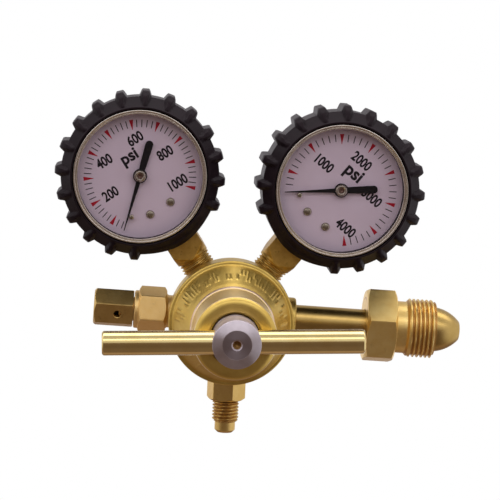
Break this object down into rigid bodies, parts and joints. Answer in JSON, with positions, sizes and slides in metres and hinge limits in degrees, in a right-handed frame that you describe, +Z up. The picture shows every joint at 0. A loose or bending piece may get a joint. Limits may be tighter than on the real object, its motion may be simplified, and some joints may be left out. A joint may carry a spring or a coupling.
{
  "type": "gas pressure regulator",
  "caption": "Single-stage compressed-gas regulator: forged body and bonnet, tee-bar adjusting screw, relief valve, flare outlet, inlet nut and dial gauges in ribbed rubber boots.",
  "frame": {"origin": "centre of the flat rear face of the valve body", "axes": "+X along the inlet nipple, away from the body; +Y out of the rear face, away from the person turning the tee bar; +Z up, midway between the gauge stems"},
  "size_m": [0.1731, 0.0935, 0.1413],
  "materials": {
    "forged_brass": "as forged, tumbled",
    "turned_brass": "turned, bright",
    "dark_brass": "drawn bar, tarnished",
    "pale_brass": "drawn bar, satin",
    "turned_steel": "turned, zinc plated",
    "spring_steel": "oiled spring wire",
    "case_steel": "black paint",
    "bezel_steel": "polished",
    "black_rubber": "moulded, matt",
    "dial_white": "matt white print ground",
    "pointer_black": "matt black",
    "clear_lens": "clear polycarbonate",
    "diaphragm_rubber": "fabric-backed sheet",
    "seat_plastic": "machined",
    "sintered_bronze": "porous, matt"
  },
  "bodies": {
    "regulator": {"valve_body": "forged_brass", "bonnet": "forged_brass", "diaphragm": "diaphragm_rubber", "slip_ring": "turned_brass", "seat_nozzle": "turned_brass", "poppet_spring": "spring_steel", "adjusting_spring": "spring_steel", "inlet_nipple": "turned_brass", "inlet_filter": "sintered_bronze", "outlet_fitting": "turned_brass", "relief_body": "pale_brass", "relief_cap": "dark_brass", "relief_spring": "spring_steel", "delivery_gauge_socket": "dark_brass", "delivery_gauge_case": "case_steel", "delivery_gauge_lens": "clear_lens", "delivery_gauge_bezel": "bezel_steel", "delivery_gauge_dial": "dial_white", "delivery_gauge_dial_screw_1": "turned_brass", "delivery_gauge_dial_screw_2": "turned_brass", "delivery_gauge_stop_pin": "turned_brass", "delivery_gauge_bourdon_tube": "dark_brass", "delivery_gauge_rear_plate": "turned_brass", "delivery_gauge_front_plate": "turned_brass", "delivery_gauge_boot": "black_rubber", "cylinder_gauge_socket": "dark_brass", "cylinder_gauge_case": "case_steel", "cylinder_gauge_lens": "clear_lens", "cylinder_gauge_bezel": "bezel_steel", "cylinder_gauge_dial": "dial_white", "cylinder_gauge_dial_screw_1": "turned_brass", "cylinder_gauge_dial_screw_2": "turned_brass", "cylinder_gauge_stop_pin": "turned_brass", "cylinder_gauge_bourdon_tube": "dark_brass", "cylinder_gauge_rear_plate": "turned_brass", "cylinder_gauge_front_plate": "turned_brass", "cylinder_gauge_boot": "black_rubber"},
    "button": {"spring_button": "turned_steel"},
    "screw": {"adjusting_screw": "turned_steel", "tee_bar": "turned_brass"},
    "valve_stem": {"diaphragm_plate": "turned_brass", "poppet": "seat_plastic"},
    "nut": {"inlet_nut": "turned_brass"},
    "relief_valve": {"relief_poppet": "turned_brass"},
    "delivery_pointer": {"delivery_gauge_pointer": "pointer_black", "delivery_gauge_pinion": "turned_brass"},
    "delivery_sector": {"delivery_gauge_sector_gear": "turned_brass"},
    "delivery_link": {"delivery_gauge_link": "turned_brass"},
    "cylinder_pointer": {"cylinder_gauge_pointer": "pointer_black", "cylinder_gauge_pinion": "turned_brass"},
    "cylinder_sector": {"cylinder_gauge_sector_gear": "turned_brass"},
    "cylinder_link": {"cylinder_gauge_link": "turned_brass"}
  },
  "joints": [
    {"name": "button_slide", "type": "slide", "parent": "regulator", "child": "button", "axis": [0, 1, 0], "range_m": [-0.00794, 0.00199], "deforming": ["adjusting_spring"]},
    {"name": "screw_turn", "type": "hinge", "parent": "button", "child": "screw", "pos_m": [0, -0.0859, 0], "axis": [0, 1, 0], "range_deg": [-1800, 450]},
    {"name": "valve_lift", "type": "slide", "parent": "regulator", "child": "valve_stem", "axis": [0, 1, 0], "range_m": [0, 0.0008], "stiffness_N_per_m": 400, "springref_m": -0.004, "deforming": ["diaphragm", "poppet_spring", "adjusting_spring"]},
    {"name": "nut_spin", "type": "hinge", "parent": "regulator", "child": "nut", "pos_m": [0.07, -0.016, 0], "axis": [1, 0, 0], "continuous": true},
    {"name": "relief_lift", "type": "slide", "parent": "regulator", "child": "relief_valve", "axis": [-1, 0, 0], "range_m": [0, 0.0012], "stiffness_N_per_m": 80, "springref_m": -0.006, "deforming": ["relief_spring"]},
    {"name": "delivery_pointer_turn", "type": "hinge", "parent": "regulator", "child": "delivery_pointer", "pos_m": [-0.04132, -0.016, 0.05687], "axis": [0, 1, 0], "range_deg": [0, 266]},
    {"name": "delivery_sector_turn", "type": "hinge", "parent": "regulator", "child": "delivery_sector", "pos_m": [-0.03226, -0.016, 0.06346], "axis": [0, 1, 0], "range_deg": [-44.33, 0], "stiffness_Nm_per_rad": 0.00072, "springref_deg": 9.55},
    {"name": "delivery_link_turn", "type": "hinge", "parent": "delivery_sector", "child": "delivery_link", "pos_m": [-0.02855, -0.016, 0.06011], "axis": [0, 1, 0], "range_deg": [0, 44.5]},
    {"name": "cylinder_pointer_turn", "type": "hinge", "parent": "regulator", "child": "cylinder_pointer", "pos_m": [0.04132, -0.016, 0.05687], "axis": [0, 1, 0], "range_deg": [0, 266]},
    {"name": "cylinder_sector_turn", "type": "hinge", "parent": "regulator", "child": "cylinder_sector", "pos_m": [0.05038, -0.016, 0.05029], "axis": [0, 1, 0], "range_deg": [-44.33, 0], "stiffness_Nm_per_rad": 0.00072, "springref_deg": 9.55},
    {"name": "cylinder_link_turn", "type": "hinge", "parent": "cylinder_sector", "child": "cylinder_link", "pos_m": [0.04835, -0.016, 0.04572], "axis": [0, 1, 0], "range_deg": [0, 44.5]}
  ],
  "couplings": [
    {"joint": "button_slide", "follows": "screw_turn", "m_per_rad": 0.00025266},
    {"joint": "delivery_pointer_turn", "follows": "delivery_sector_turn", "ratio": -6},
    {"joint": "delivery_link_turn", "follows": "delivery_sector_turn", "ratio": -1},
    {"joint": "cylinder_pointer_turn", "follows": "cylinder_sector_turn", "ratio": -6},
    {"joint": "cylinder_link_turn", "follows": "cylinder_sector_turn", "ratio": -1}
  ]
}
